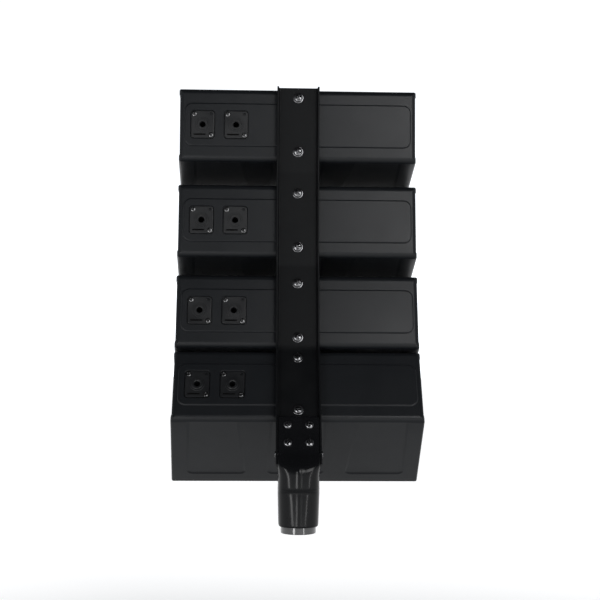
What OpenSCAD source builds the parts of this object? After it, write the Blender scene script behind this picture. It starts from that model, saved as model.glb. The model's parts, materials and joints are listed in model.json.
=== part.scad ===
// Line array speaker: four two-way modules screwed to one bent spine rail, which a cast
// bracket carries on a 35 mm pole. Millimetres, Z up, and the sound leaves towards -Y.
// The origin is the centre of the pole socket's mouth.

/* [Array] */
// Tilt of each module, front down, top module first, in degrees
module_tilts = [0, 5, 12, 26.5]; // [0:0.5:30]
// Distance from each module's centre to the next one's, along the rail, top first
module_pitches = [110, 104, 86.5]; // [86:0.5:120]
// How far the lowest module's seat centre lies behind the pole's axis
low_seat_y = -38; // [-42:1:-36]
// Height of the lowest module's seat centre above the socket's mouth
low_seat_z = 152; // [150:1:160]

/* [Cabinet] */
// Width of a cabinet at the rear
rear_w = 271; // [265:1:280]
// Width of a cabinet at the front
front_w = 286; // [284:1:296]
// Height of a cabinet at the rear
rear_h = 82; // [81:0.5:83]
// Depth from the rail's seat to the front edge
depth = 139; // [138:1:141]
// Angle of the top and of the underside from the module's axis, in degrees
wedge = 7.5; // [7.2:0.1:7.6]
// Wall thickness of the moulding
wall = 5; // [4:0.5:6]
// Depth of the embossed channels in the top and the underside
emboss = 1.2; // [0.5:0.1:1.5]

/* [Drivers] */
// Distance of each woofer's axis from the module's middle
woofer_x = 86; // [85:1:88]

/* [Rail] */
// Outside width of the spine rail
rail_w = 48; // [46:1:52]
// Thickness of the rail's web
web_t = 2.5; // [2:0.5:3]
// Thickness of the rail's flanges
flange_t = 2; // [1.5:0.5:2]
// Height of the rail's flanges, web included
rail_h = 10; // [9:1:12]
// Distance of the rail screws from a module's centre
screw_reach = 31; // [28:1:33]

/* [Pole bracket] */
// Inside radius of the sleeve that takes the pole
pole_bore_r = 17.65; // [17.6:0.01:17.8]
// Outside radius of the sleeve
sleeve_r = 18.4; // [18.3:0.1:18.6]
// Depth of the socket, from the sleeve's mouth
socket_depth = 64; // [56:1:64]
// Outside radius of the socket at its foot
socket_foot_r = 20.8; // [20.5:0.1:21]
// Height of the clamp screw's axis above the socket's mouth
clamp_z = 28; // [24:1:34]

/* [Hidden] */
MODULES = [1 : 4];
PER_MODULE = ["cabinet", "baffle", "grille", "woofer_baskets", "woofer_magnets",
    "woofer_suspension", "woofer_cones", "tweeter_horn", "tweeter_motor", "crossover",
    "jack_sockets", "jack_screws"];
SHARED = ["spine_rail", "rail_screws", "rail_inserts", "pole_bracket", "bracket_screws",
    "bracket_nuts", "bracket_side_screws", "socket_sleeve", "clamp_knob", "clamp_pad",
    "baffle_screws", "damping_pads"];
$fn = 64;

// Depths below are measured forward from the rail's seat, which is the plateau's face.
plateau_t = 1.5;
plateau_w = 259;
plateau_h = 50;
plateau_corner = 8;
inner_ledge = 2;
rim_wall = 3.5;
rim_gap = 0.3;
baffle_back = 121;
baffle_front = 129;
grille_back = 135;
grille_front = 136.5;

// Corners: arcs are drawn with this many steps.
arc_steps = 6;
rear_edge_r = 5.5;
front_edge_r = 2;

// Embossing: a middle channel, and one on each side, between raised bands.
channel_front = 121;
channels = [[0, 30, 33], [90.5, 27.5, 34.5]];
side_panel_in = 1;
side_panel_h = 32;

// Jack sockets, as distances from the module's middle, on standard 26 x 31 mm flanges.
jack_x = [70.6, 108.6];
jack_plate = [26, 31];
jack_plate_t = 2;
jack_corner_r = 3;
jack_gap = 0.7;
jack_hole_r = 3.25;
jack_barrel_r = 11;
jack_barrel_end = 26;
jack_nut_r = 6.15;
jack_nut_t = 1.4;
jack_screw_at = [9.5, 12];

// Fasteners: shank radius, head radius, head height.
m6 = [3, 5.6, 3.3];
m5 = [2.5, 4.75, 2.75];
m4 = [2, 3.6, 1.4];
m3 = [1.5, 2.8, 1];
fit = 0.05;
insert_r = 4.5;
insert_len = 12;
insert_boss_r = 9;
nut_r = 4.6;
nut_t = 4;
rail_ring_r = 6.2;
rail_ring_t = 0.8;

// Rail: how far it runs past the seats of the top and the lowest module.
rail_up = 42.5;
rail_down = 95;
rail_bend_r = 40;
bend_steps = 4;

// Bracket, as distances down the rail from the lowest seat's centre.
plate_top = 41;
plate_w = 43.6;
plate_t = 6;
plate_hole_x = 11.35;
plate_hole_s = [51, 71];
side_screw_s = 82.5;
side_screw_y = 6;
side_screw_in = 12;
side_hole_in = 11;
side_head_share = 0.85;
slot_gap = 0.2;
bulge_y = 24;
bulge_z = 56.5;
bulge_h = 14;
bulge_r = 7;
bulge_front_y = -20.5;
bulge_rear_y = 20;
rib_y = -5;
rib_s = 84;
front_rib_s = 80;
neck_s = 86;
socket_foot_z = 7;
socket_draft = 1;
socket_cone_h = 39.5;

// Clamp screw: its depths run forward from the pole's axis.
clamp_boss_r = 11;
clamp_boss_end = 36;
clamp_screw_r = 5;
clamp_pad_r = 4.7;
clamp_pad_in = 17.95;
clamp_pad_out = 23;
clamp_tip_r = 2.2;
clamp_knob_r = 15;
clamp_knob_in = 40;
clamp_knob_out = 56;

// Damping wool: the pads' size, and how far from the middle and from the rear they sit.
wool_size = [7, 56, 60];
wool_x = 126;
wool_depth = 60;

// Colours.
moulding_black = [0.11, 0.11, 0.115];
rail_black = [0.07, 0.07, 0.075];
gloss_black = [0.03, 0.03, 0.035];
screw_black = [0.05, 0.05, 0.05];
steel = [0.6, 0.6, 0.62];
brass = [0.72, 0.58, 0.3];
paper_black = [0.09, 0.09, 0.09];
rubber_black = [0.05, 0.05, 0.055];
board_green = [0.1, 0.3, 0.16];
wool_grey = [0.5, 0.5, 0.48];

// ---- Places ----

function tilt(n) = module_tilts[n - 1];
function up_of(a) = [-sin(a), cos(a)];
function half_pitch(n) = module_pitches[n - 1] / 2;

// Centre of module n's seat on the rail, as [y, z].
function seat(n) = n == 4
    ? [low_seat_y, low_seat_z]
    : seat(n + 1) + half_pitch(n) * (up_of(tilt(n)) + up_of(tilt(n + 1)));

module at_module(n) {
    translate([0, seat(n)[0], seat(n)[1]]) rotate([tilt(n), 0, 0]) children();
}

// Half of the cabinet's height and width at a depth.
function half_h(d) = rear_h / 2 + d * tan(wedge);
function half_w(d) = (rear_w + (front_w - rear_w) * d / depth) / 2;

// ---- Outlines ----

// The corner at b of the outline a-b-c, as an arc of radius r.
function corner_arc(a, b, c, r) = let(
    u = (a - b) / norm(a - b),
    v = (c - b) / norm(c - b),
    half = acos(u * v) / 2,
    centre = b + r / sin(half) * (u + v) / norm(u + v),
    from = b + u * r / tan(half) - centre,
    to = b + v * r / tan(half) - centre,
    start = atan2(from[1], from[0]),
    turn = (atan2(to[1], to[0]) - start + 540) % 360 - 180)
    [for (k = [0 : arc_steps]) let(a = start + turn * k / arc_steps) centre + r * [cos(a), sin(a)]];

// A closed outline with corner i rounded to radii[i].
function rounded(points, radii) = let(count = len(points))
    [for (i = [0 : count - 1]) each corner_arc(
        points[(i + count - 1) % count], points[i], points[(i + 1) % count], radii[i])];

function rounded_rect(w, h, r) =
    rounded([[-w, -h], [w, -h], [w, h], [-w, h]] / 2, [r, r, r, r]);

// Extrudes a [y, z] outline along X, centred.
module along_x(length) {
    rotate([90, 0, 90]) linear_extrude(length, center = true) children();
}

// Extrudes an [x, z] outline from one depth to a greater one.
module forward(from, to) {
    translate([0, -from, 0]) rotate([90, 0, 0]) linear_extrude(to - from) children();
}

// A round bar along Y, between two depths.
module bar(r, from, to) {
    translate([0, -from, 0]) rotate([90, 0, 0]) cylinder(r = r, h = to - from);
}

// Turns an outline about a driver's axis. Its points are [radius, distance ahead of the
// baffle's front].
module turned(points) {
    translate([0, -baffle_front, 0]) rotate([90, 0, 0]) rotate_extrude() polygon(points);
}

// The cabinet's tapered block between two depths, its sides moved in by inset.
module wedge_block(back, front, inset, r_back, r_front) {
    radii = [r_back, r_front, r_front, r_back];
    hb = half_h(back) - inset;
    hf = half_h(front) - inset;
    wb = half_w(back) - inset;
    wf = half_w(front) - inset;
    intersection() {
        along_x(2 * front_w)
            polygon(rounded([[-back, hb], [-front, hf], [-front, -hf], [-back, -hb]], radii));
        linear_extrude(4 * rear_h, center = true)
            polygon(rounded([[wb, -back], [wf, -front], [-wf, -front], [-wb, -back]], radii));
    }
}

// ---- Cabinet ----

module jack_places() {
    for (x = jack_x) translate([x, 0, 0]) children();
}

module rail_screw_places() {
    for (side = [-1, 1]) translate([0, 0, side * screw_reach]) children();
}

module baffle_screw_places() {
    for (x = [-130, -41, 41, 130], z = [-46, 46]) translate([x, 0, z]) children();
}

// The three channels of one face, as blocks that stand on it.
module channel_cutters() {
    for (face = [0, 1]) mirror([0, 0, face])
        intersection() {
            translate([0, 0, -emboss]) along_x(2 * front_w)
                polygon([[1, half_h(-1)], [-channel_front, half_h(channel_front)],
                    [-channel_front, rear_h], [1, rear_h]]);
            linear_extrude(rear_h)
                for (side = [-1, 1], c = channels) translate([side * c[0], 0])
                    polygon(rounded([[-c[1], 1], [-c[2], -channel_front],
                        [c[2], -channel_front], [c[1], 1]], [1, 6, 6, 1]));
        }
}

// The shallow panel in each side wall, between its top and bottom rims.
module side_panel_cutters() {
    for (side = [-1, 1]) scale([side, 1, 1])
        intersection() {
            along_x(2 * front_w)
                polygon(rounded([[-12, side_panel_h], [-124, side_panel_h + 15],
                    [-124, -side_panel_h - 15], [-12, -side_panel_h]], [4, 4, 4, 4]));
            linear_extrude(2 * rear_h, center = true)
                polygon([[half_w(12) - side_panel_in, -12], [front_w, -12],
                    [front_w, -124], [half_w(124) - side_panel_in, -124]]);
        }
}

module cabinet(n) {
    color(moulding_black) at_module(n) difference() {
        union() {
            difference() {
                wedge_block(plateau_t, depth, 0, rear_edge_r, front_edge_r);
                wedge_block(plateau_t + wall, baffle_back + 1, wall + inner_ledge, 4, 0.1);
                wedge_block(baffle_back, depth + 5, rim_wall, 0.1, 0.1);
            }
            forward(0, plateau_t + 1) polygon(rounded_rect(plateau_w, plateau_h, plateau_corner));
            rail_screw_places() bar(insert_boss_r, plateau_t + 1, insert_len + 3);
            baffle_screw_places() bar(5, baffle_back - 20, baffle_back);
        }
        channel_cutters();
        side_panel_cutters();
        rail_screw_places() bar(insert_r + fit, -1, insert_len + 1);
        baffle_screw_places() bar(m4[0] + fit, baffle_back - 16, baffle_back + 1);
        jack_places() {
            forward(-1, jack_plate_t)
                polygon(rounded_rect(jack_plate[0] + 2 * jack_gap, jack_plate[1] + 2 * jack_gap,
                    jack_corner_r + jack_gap));
            bar(jack_barrel_r + 0.5, -1, plateau_t + wall + 1);
            jack_screw_places() bar(m3[0] + fit, 0, plateau_t + wall - 1);
        }
    }
}

// ---- Front ----

module baffle(n) {
    color(moulding_black) at_module(n) difference() {
        wedge_block(baffle_back, baffle_front, rim_wall + rim_gap, 0.5, 0.5);
        for (side = [-1, 1]) translate([side * woofer_x, 0, 0])
            bar(42.3, baffle_back - 1, baffle_front + 1);
        forward(baffle_back - 1, baffle_front + 1)
            polygon(rounded_rect(63, 89, 4));
        baffle_screw_places() bar(m4[0] + 0.2, baffle_back - 1, baffle_front + 1);
    }
}

module grille(n) {
    color(rail_black) at_module(n) difference() {
        wedge_block(baffle_front, grille_front, rim_wall + rim_gap, 0.5, 1.5);
        wedge_block(baffle_front - 1, grille_back, rim_wall + rim_gap + 1.5, 0.5, 0.5);
    }
}

// ---- Woofers ----

module woofer_places() {
    for (side = [-1, 1]) translate([side * woofer_x, 0, 0]) children();
}

basket_outline = [[48, 0], [48, 2.5], [40, 2.5], [40, -3.5], [32, -30], [32, -35],
    [14, -35], [14, -38], [34, -38], [34, -30], [42, -3.5], [42, 0]];

module woofer_baskets(n) {
    color(screw_black) at_module(n) woofer_places() difference() {
        turned(basket_outline);
        for (turn = [0 : 60 : 300]) rotate([0, turn, 0])
            translate([22, 8 - baffle_front, -9]) cube([24, 20, 18]);
    }
}

// Back plate and pole, ring magnet and top plate, with the voice coil's gap.
magnet_outline = [[0, -58], [32, -58], [32, -54], [35, -54], [35, -42], [32, -42], [32, -38],
    [13.8, -38], [13.8, -42], [18, -42], [18, -54], [12.2, -54], [12.2, -37.5], [0, -37.5]];

module woofer_magnets(n) {
    color(steel) at_module(n) woofer_places() turned(magnet_outline);
}

surround_outline = [[36.4, -2.4], [36.4, -1], [36.9, 1.4], [38.2, 3.5], [47.5, 3.5],
    [47.5, 2.5], [39, 2.5], [37.9, 1], [37.4, -1], [37.4, -2.4]];
spider_outline = [[13.8, -33], [31.4, -33], [31.4, -32], [13.8, -32]];

// Outer roll with its gasket, and the spider behind the cone.
module woofer_suspension(n) {
    color(rubber_black) at_module(n) woofer_places() {
        turned(surround_outline);
        turned(spider_outline);
    }
}

// Voice-coil former, cone and dust cap: the cap's two faces are parabolas.
cap_steps = 6;
cone_outline = concat(
    [[12.6, -46], [13.4, -46], [13.4, -27.2], [36, -3.2], [36, -1.6]],
    [for (k = [0 : cap_steps]) let(t = 1 - k / cap_steps) [16.5 * t, -18 - 4.4 * t * t]],
    [for (k = [0 : cap_steps]) let(t = k / cap_steps) [12.6 * t, -19.2 - 5.3 * t * t]]);

module woofer_cones(n) {
    color(paper_black) at_module(n) woofer_places() turned(cone_outline);
}

// ---- Tweeter ----

module tweeter_horn(n) {
    color(moulding_black) at_module(n) difference() {
        union() {
            forward(baffle_front, baffle_front + 3)
                polygon(rounded_rect(72, 98, 5));
            hull() {
                forward(baffle_front - 0.5, baffle_front + 1) square([60, 86], center = true);
                forward(baffle_front - 29, baffle_front - 26) circle(r = 20, $fn = 32);
            }
        }
        hull() {
            forward(baffle_front + 2.5, baffle_front + 3.5) square([56, 82], center = true);
            forward(baffle_front - 30, baffle_front - 26) square([14, 36], center = true);
        }
    }
}

module tweeter_motor(n) {
    color(steel) at_module(n)
        turned([[0, -60], [26, -60], [28, -58], [28, -42], [31, -42], [31, -34], [20, -34],
            [20, -29], [0, -29]]);
}

// ---- Electronics and connectors ----

module crossover(n) {
    color(board_green) at_module(n) translate([-94, 0, 0]) {
        forward(10, 11.6) square([62, 54], center = true);
        for (x = [-26, 26], z = [-22, 22]) translate([x, 0, z])
            bar(3, plateau_t + wall, 10);
        for (x = [-18, 12]) translate([x, 0, 10]) bar(9, 11.6, 24);
        for (x = [-20, 0, 20]) translate([x, 0, -16]) bar(5, 11.6, 30);
    }
}

module jack_screw_places() {
    for (side = [-1, 1])
        translate([side * jack_screw_at[0], 0, side * jack_screw_at[1]]) children();
}

module jack_sockets(n) {
    color(gloss_black) at_module(n) jack_places() difference() {
        union() {
            forward(0, jack_plate_t)
                polygon(rounded_rect(jack_plate[0], jack_plate[1], jack_corner_r));
            bar(jack_barrel_r, 1, jack_barrel_end);
            bar(jack_nut_r, -jack_nut_t, 1);
        }
        bar(jack_hole_r, -jack_nut_t - 1, jack_barrel_end - 2);
        jack_screw_places() bar(m3[0] + fit, -1, jack_plate_t + 1);
        jack_screw_places() bar(m3[1] + fit, -1, m3[2]);
        translate([-jack_screw_at[0], 0, jack_screw_at[1]]) bar(1.8, -1, jack_plate_t + 1);
    }
}

module jack_screws(n) {
    color(screw_black) at_module(n) jack_places() jack_screw_places() {
        difference() {
            union() {
                bar(m3[1], 0, m3[2]);
                bar(m3[0], 0.5, plateau_t + wall - 1.5);
            }
            translate([0, 0.5, 0]) rotate([90, 0, 0]) cylinder(r = 1.1, h = 1.1, $fn = 6);
        }
    }
}

// ---- Rail and its fasteners ----

// A point [y, z, tilt] on the rail's seat line, s above module n's centre.
function on_rail(n, s) = concat(seat(n) + s * up_of(tilt(n)), [tilt(n)]);

// The bend below module n, an arc about a centre behind the rail.
function bend(n) = let(
    from = tilt(n),
    to = tilt(n + 1),
    mid = (from + to) / 2,
    corner = seat(n) - half_pitch(n) * up_of(from),
    centre = corner + rail_bend_r / cos((to - from) / 2) * [cos(mid), sin(mid)])
    [for (k = [0 : bend_steps]) let(a = from + (to - from) * k / bend_steps)
        concat(centre - rail_bend_r * [cos(a), sin(a)], [a])];

// The rail's seat line from end to end, made longer by extra at both ends.
function rail_line(extra) = concat([on_rail(1, rail_up + extra)], bend(1), bend(2), bend(3),
    [on_rail(4, -rail_down - extra)]);

// The seat line moved back by b.
function moved_back(line, b) = [for (p = line) [p[0] + b * cos(p[2]), p[1] + b * sin(p[2])]];
function reversed(list) = [for (i = [len(list) - 1 : -1 : 0]) list[i]];

// A strip along the rail between two distances behind its seat.
module rail_strip(width, b0, b1, extra) {
    line = rail_line(extra);
    along_x(width) polygon(concat(moved_back(line, b0), reversed(moved_back(line, b1))));
}

module bracket_screw_places() {
    for (x = [-1, 1], s = plate_hole_s) translate([x * plate_hole_x, 0, -s]) children();
}

// A round bar along X at the side screws' level, between two distances from the middle.
module side_bar(r, from, to) {
    translate([from, side_screw_y, -side_screw_s]) rotate([0, 90, 0])
        cylinder(r = r, h = to - from);
}

module spine_rail() {
    color(rail_black) difference() {
        rail_strip(rail_w, 0, rail_h, 0);
        rail_strip(rail_w - 2 * flange_t, web_t, rail_h + 1, 1);
        for (n = MODULES) at_module(n) rail_screw_places() bar(m6[0] + 0.3, -web_t - 1, 1);
        at_module(4) bracket_screw_places() bar(m5[0] + 0.2, -web_t - 1, 1);
        at_module(4) for (side = [0, 1]) mirror([side, 0, 0])
            side_bar(m4[0] + 0.2, rail_w / 2 - flange_t - 1, rail_w / 2 + 1);
    }
}

// A button-head screw whose head stands on the depth "under" and whose tip is at "tip".
module button_screw(size, under, tip) {
    difference() {
        union() {
            bar(size[0], under - 0.5, tip);
            bar(size[1], under - size[2] * 0.55, under);
            translate([0, -under + size[2] * 0.55, 0]) rotate([-90, 0, 0])
                cylinder(r1 = size[1], r2 = size[1] * 0.62, h = size[2] * 0.45);
        }
        translate([0, -under + size[2] + 1, 0]) rotate([90, 0, 0])
            cylinder(r = size[0] * 0.76, h = 1 + size[2] * 0.6, $fn = 6);
    }
}

module rail_screws() {
    color(screw_black) for (n = MODULES) at_module(n) rail_screw_places() {
        button_screw(m6, -web_t - rail_ring_t, insert_len);
        bar(rail_ring_r, -web_t - rail_ring_t, -web_t);
    }
}

module rail_inserts() {
    color(brass) for (n = MODULES) at_module(n) rail_screw_places() difference() {
        bar(insert_r, 0, insert_len + 0.5);
        bar(m6[0] + fit, -1, insert_len + 1);
    }
}

// ---- Pole bracket ----

// A point given in the lowest module's frame, as [y, z] in the part's.
function low_point(y, z) = let(a = tilt(4))
    seat(4) + [y * cos(a) - z * sin(a), y * sin(a) + z * cos(a)];

// The casting from the side: the plate, the bulge behind the pole's top and a rib ahead of
// the rail's end.
casting_outline = concat(
    [low_point(web_t + plate_t, -plate_top), low_point(web_t, -plate_top),
        low_point(web_t, -front_rib_s), low_point(rib_y, -rib_s)],
    [[bulge_front_y, socket_depth + 6], [bulge_front_y, bulge_z - 20],
        [bulge_rear_y, bulge_z - 20]],
    [for (a = [-60 : 20 : 40])
        [bulge_y - bulge_r * (1 - cos(a)), bulge_z + bulge_h * sin(a)]],
    [low_point(web_t + plate_t, -neck_s)]);

module bracket_body() {
    along_x(plate_w) intersection() {
        polygon(casting_outline);
        translate([-100, bulge_z + bulge_h]) square(200);
    }
    intersection() {
        along_x(plate_w) polygon(casting_outline);
        cylinder(r = bulge_y, h = bulge_z + bulge_h);
    }
    translate([0, 0, socket_foot_z])
        cylinder(r1 = socket_foot_r, r2 = socket_foot_r + socket_draft, h = socket_cone_h);
    translate([0, 0, clamp_z]) bar(clamp_boss_r, 0, clamp_boss_end);
}

module pole_bracket() {
    color(gloss_black) difference() {
        bracket_body();
        // The pole's bore, with its sleeve
        cylinder(r = sleeve_r + fit, h = socket_depth);
        // The slot that takes the rail's end
        at_module(4) translate([-rail_w, -slot_gap, -rail_down - slot_gap])
            cube([2 * rail_w, web_t + slot_gap, rail_down]);
        at_module(4) bracket_screw_places() bar(m5[0] + 0.2, -web_t - plate_t - 1, 1);
        at_module(4) for (side = [0, 1]) mirror([side, 0, 0])
            side_bar(m4[0] + fit, side_hole_in, rail_w);
        translate([0, 0, clamp_z]) bar(clamp_screw_r + fit, 0, clamp_boss_end + 1);
    }
}

module bracket_screws() {
    color(screw_black) at_module(4) bracket_screw_places() button_screw(m5, -web_t - plate_t, 5);
}

module bracket_nuts() {
    color(steel) at_module(4) bracket_screw_places() difference() {
        rotate([90, 0, 0]) cylinder(r = nut_r, h = nut_t, $fn = 6);
        bar(m5[0] + fit, -1, 5);
    }
}

module bracket_side_screws() {
    color(screw_black) at_module(4) for (side = [0, 1]) mirror([side, 0, 0]) {
        side_bar(m4[0], side_screw_in, rail_w / 2 + 0.5);
        side_bar(m4[1] * side_head_share, rail_w / 2, rail_w / 2 + m4[2]);
    }
}

module socket_sleeve() {
    color(gloss_black) difference() {
        cylinder(r = sleeve_r, h = socket_depth - 0.2);
        translate([0, 0, -1]) cylinder(r = pole_bore_r, h = socket_depth + 2);
        translate([0, 0, clamp_z]) bar(clamp_screw_r + fit, 0, clamp_boss_end);
    }
}

// ---- Clamp ----

module clamp_pad() {
    color(steel) translate([0, 0, clamp_z]) difference() {
        bar(clamp_pad_r, clamp_pad_in, clamp_pad_out);
        bar(clamp_tip_r + 0.3, clamp_pad_out - 2.2, clamp_pad_out + 1);
    }
}

module clamp_knob() {
    color(screw_black) translate([0, 0, clamp_z]) {
        bar(clamp_tip_r, clamp_pad_out - 1.9, clamp_pad_out + 2);
        bar(clamp_screw_r, clamp_pad_out + 0.3, clamp_knob_in + 1);
        bar(9, clamp_knob_in, clamp_knob_in + 3);
        bar(clamp_knob_r - 3, clamp_knob_in + 2, clamp_knob_out);
        for (turn = [0 : 60 : 300]) rotate([0, turn, 0]) translate([clamp_knob_r - 4, 0, 0])
            bar(4, clamp_knob_in + 3, clamp_knob_out - 1);
    }
}

// ---- Small repeated pieces ----

module baffle_screws() {
    color(screw_black) for (n = MODULES) at_module(n) baffle_screw_places() {
        bar(m4[0], baffle_back - 14, baffle_front + 0.5);
        bar(m4[1], baffle_front, baffle_front + m4[2]);
    }
}

module damping_pads() {
    color(wool_grey) for (n = MODULES) at_module(n) for (side = [-1, 1])
        translate([side * wool_x, -wool_depth, 0]) cube(wool_size, center = true);
}

// ---- Drawing ----

spine_rail();
rail_screws();
rail_inserts();
pole_bracket();
bracket_screws();
bracket_nuts();
bracket_side_screws();
socket_sleeve();
clamp_knob();
clamp_pad();
baffle_screws();
damping_pads();

for (n = MODULES) {
    cabinet(n);
    baffle(n);
    grille(n);
    woofer_baskets(n);
    woofer_magnets(n);
    woofer_suspension(n);
    woofer_cones(n);
    tweeter_horn(n);
    tweeter_motor(n);
    crossover(n);
    jack_sockets(n);
    jack_screws(n);
}
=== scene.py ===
"""Looks of the line array speaker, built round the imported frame.

Pieces are modelled in millimetres, most of them in the frame of one module: x to the
side, y back from the rail's seat, z up along the rail. They are then placed in metres.
"""

import json
import math

import bmesh
import bpy
from mathutils import Matrix, Vector


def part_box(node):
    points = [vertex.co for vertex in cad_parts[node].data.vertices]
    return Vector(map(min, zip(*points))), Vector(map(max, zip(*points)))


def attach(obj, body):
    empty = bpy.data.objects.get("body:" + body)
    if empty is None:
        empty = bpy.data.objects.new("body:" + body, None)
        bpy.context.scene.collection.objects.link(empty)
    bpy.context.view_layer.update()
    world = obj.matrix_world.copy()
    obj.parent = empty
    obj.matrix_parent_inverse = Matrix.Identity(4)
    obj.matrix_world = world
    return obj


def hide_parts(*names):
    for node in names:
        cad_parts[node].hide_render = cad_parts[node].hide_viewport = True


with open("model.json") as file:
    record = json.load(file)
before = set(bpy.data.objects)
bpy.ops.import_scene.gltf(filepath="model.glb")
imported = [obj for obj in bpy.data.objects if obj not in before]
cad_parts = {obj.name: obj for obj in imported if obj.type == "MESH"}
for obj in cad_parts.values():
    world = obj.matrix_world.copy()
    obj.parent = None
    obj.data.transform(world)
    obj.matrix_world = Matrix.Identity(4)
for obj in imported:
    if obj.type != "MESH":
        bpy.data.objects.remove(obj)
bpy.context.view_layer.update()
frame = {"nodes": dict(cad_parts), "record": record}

MM = 0.001
MODULES = (1, 2, 3, 4)
BODY = "array_frame"
SIDE = Vector((1, 0, 0))

# ---- Camera ----

CAMERA_AT = Vector((0.0372, 1.1142, 0.1768))
CAMERA_YAW, CAMERA_PITCH, CAMERA_ROLL = 1.934, 3.3, 0.335
SENSOR_W, FOCAL_SHARE = 36, 1.7745


def make_camera():
    """The photo's camera, behind the array and looking slightly up."""
    data = bpy.data.cameras.new("camera")
    data.sensor_width = SENSOR_W
    data.lens = FOCAL_SHARE * SENSOR_W
    camera = bpy.data.objects.new("camera", data)
    bpy.context.scene.collection.objects.link(camera)
    camera.location = CAMERA_AT
    turn = Matrix.Rotation(math.radians(180 - CAMERA_YAW), 4, "Z")
    lift = Matrix.Rotation(math.radians(90 + CAMERA_PITCH), 4, "X")
    roll = Matrix.Rotation(math.radians(CAMERA_ROLL), 4, "Z")
    camera.rotation_euler = (turn @ lift @ roll).to_euler()
    bpy.context.scene.camera = camera


make_camera()

# ---- Places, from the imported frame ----

MOUNTS = {m["name"]: m for m in frame["record"]["mounts"]}
# A jack's mount stands at the face of its nut, this far behind the seat.
JACK_NUT_T = 1.4
JACK_X = [MOUNTS[name]["pos_m"][0] / MM for name in ("link_jack_1", "input_jack_1")]


class Seat:
    """Where a module sits on the rail: a point, and the directions up the rail and back."""

    def __init__(self, n):
        jack = MOUNTS[f"link_jack_{n}"]
        self.back = Vector(jack["axis"])
        self.up = SIDE.cross(self.back)
        self.point = Vector(jack["pos_m"]) / MM - JACK_NUT_T * self.back
        self.point.x = 0
        self.tilt = math.atan2(self.back.z, self.back.y)
        axes = Matrix((SIDE, self.back, self.up)).transposed().to_4x4()
        self.matrix = Matrix.Scale(MM, 4) @ Matrix.Translation(self.point) @ axes

    def at(self, back, up):
        """A point [y, z] in millimetres, given in the seat's own directions."""
        p = self.point + back * self.back + up * self.up
        return Vector((p.y, p.z))


SEATS = {n: Seat(n) for n in MODULES}
PART = Matrix.Scale(MM, 4)

# Cabinet sizes: widths and heights come from the top module's box, which isn't tilted.
# The rounded front rim takes a little off the widest section, and RIM_LOSS gives it back.
RIM_LOSS_W, RIM_LOSS_H = 0.1, 0.3
low, high = (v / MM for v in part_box("cabinet_1"))
DEPTH = high.y - low.y
FRONT_W = high.x - low.x + RIM_LOSS_W
FRONT_H = high.z - low.z + RIM_LOSS_H
REAR_W, REAR_H = 271.0, 82.0
PLATEAU_T = 1.5
# Thicknesses: the walls, the ledge behind the baffle, and the rim round the grille.
WALL, LEDGE, RIM = 5.0, 2.0, 3.5
BAFFLE_BACK, BAFFLE_FRONT = 121.0, 129.0
GRILLE_BACK, GRILLE_FRONT = 135.0, 136.5
REAR_EDGE_R, FRONT_EDGE_R, CORNER_R = 6.0, 1.2, 2.2
WOOFER_X = 86.0
SCREW_REACH = 31.0


def half_w(d):
    """Half the cabinet's width at the depth d ahead of the seat."""
    return (REAR_W + (FRONT_W - REAR_W) * d / DEPTH) / 2


def half_h(d):
    """Half the cabinet's height at the depth d ahead of the seat."""
    return (REAR_H + (FRONT_H - REAR_H) * d / DEPTH) / 2


# ---- Outlines ----

def corner_arc(a, b, c, r, steps):
    """The corner at b of the outline a-b-c, as an arc of radius r."""
    u, v = (a - b).normalized(), (c - b).normalized()
    half = u.angle(v) / 2
    centre = b + (u + v).normalized() * (r / math.sin(half))
    start = b + u * (r / math.tan(half)) - centre
    end = b + v * (r / math.tan(half)) - centre
    first = math.atan2(start.y, start.x)
    turn = (math.atan2(end.y, end.x) - first + 3 * math.pi) % (2 * math.pi) - math.pi
    return [centre + r * Vector((math.cos(first + turn * k / steps),
                                 math.sin(first + turn * k / steps)))
            for k in range(steps + 1)]


def rounded(points, radii, steps=6):
    """A closed outline, its corner i rounded to radii[i]."""
    points = [Vector(p) for p in points]
    ring = []
    for i, r in enumerate(radii):
        ring += corner_arc(points[i - 1], points[i], points[(i + 1) % len(points)], r, steps)
    return ring


LEAST_R = 0.05


def rounded_rect(w, h, r, steps=6):
    return rounded([(-w / 2, -h / 2), (w / 2, -h / 2), (w / 2, h / 2), (-w / 2, h / 2)],
                   [max(r, LEAST_R)] * 4, steps)


def circle(r, steps=32):
    return [Vector((r * math.cos(2 * math.pi * k / steps),
                    r * math.sin(2 * math.pi * k / steps))) for k in range(steps)]


# ---- Meshes ----

def tidy_normals(bm):
    bmesh.ops.recalc_face_normals(bm, faces=bm.faces)


def bridge(bm, rings, closed=False):
    """Faces between neighbouring rings of 3-D points, with caps on an open stack."""
    loops = [[bm.verts.new(p) for p in ring] for ring in rings]
    following = loops[1:] + loops[:1] if closed else loops[1:]
    for a, b in zip(loops, following):
        for i in range(len(a)):
            j = (i + 1) % len(a)
            bm.faces.new((a[i], a[j], b[j], b[i]))
    if not closed:
        bm.faces.new(loops[0])
        bm.faces.new(reversed(loops[-1]))
    tidy_normals(bm)


def stack(rings):
    """A solid from a stack of rings, capped at both ends."""
    bm = bmesh.new()
    bridge(bm, rings)
    return bm


def backward(outline, y):
    """An [x, z] outline as a ring at the distance y behind the seat."""
    return [Vector((p[0], y, p[1])) for p in outline]


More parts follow.
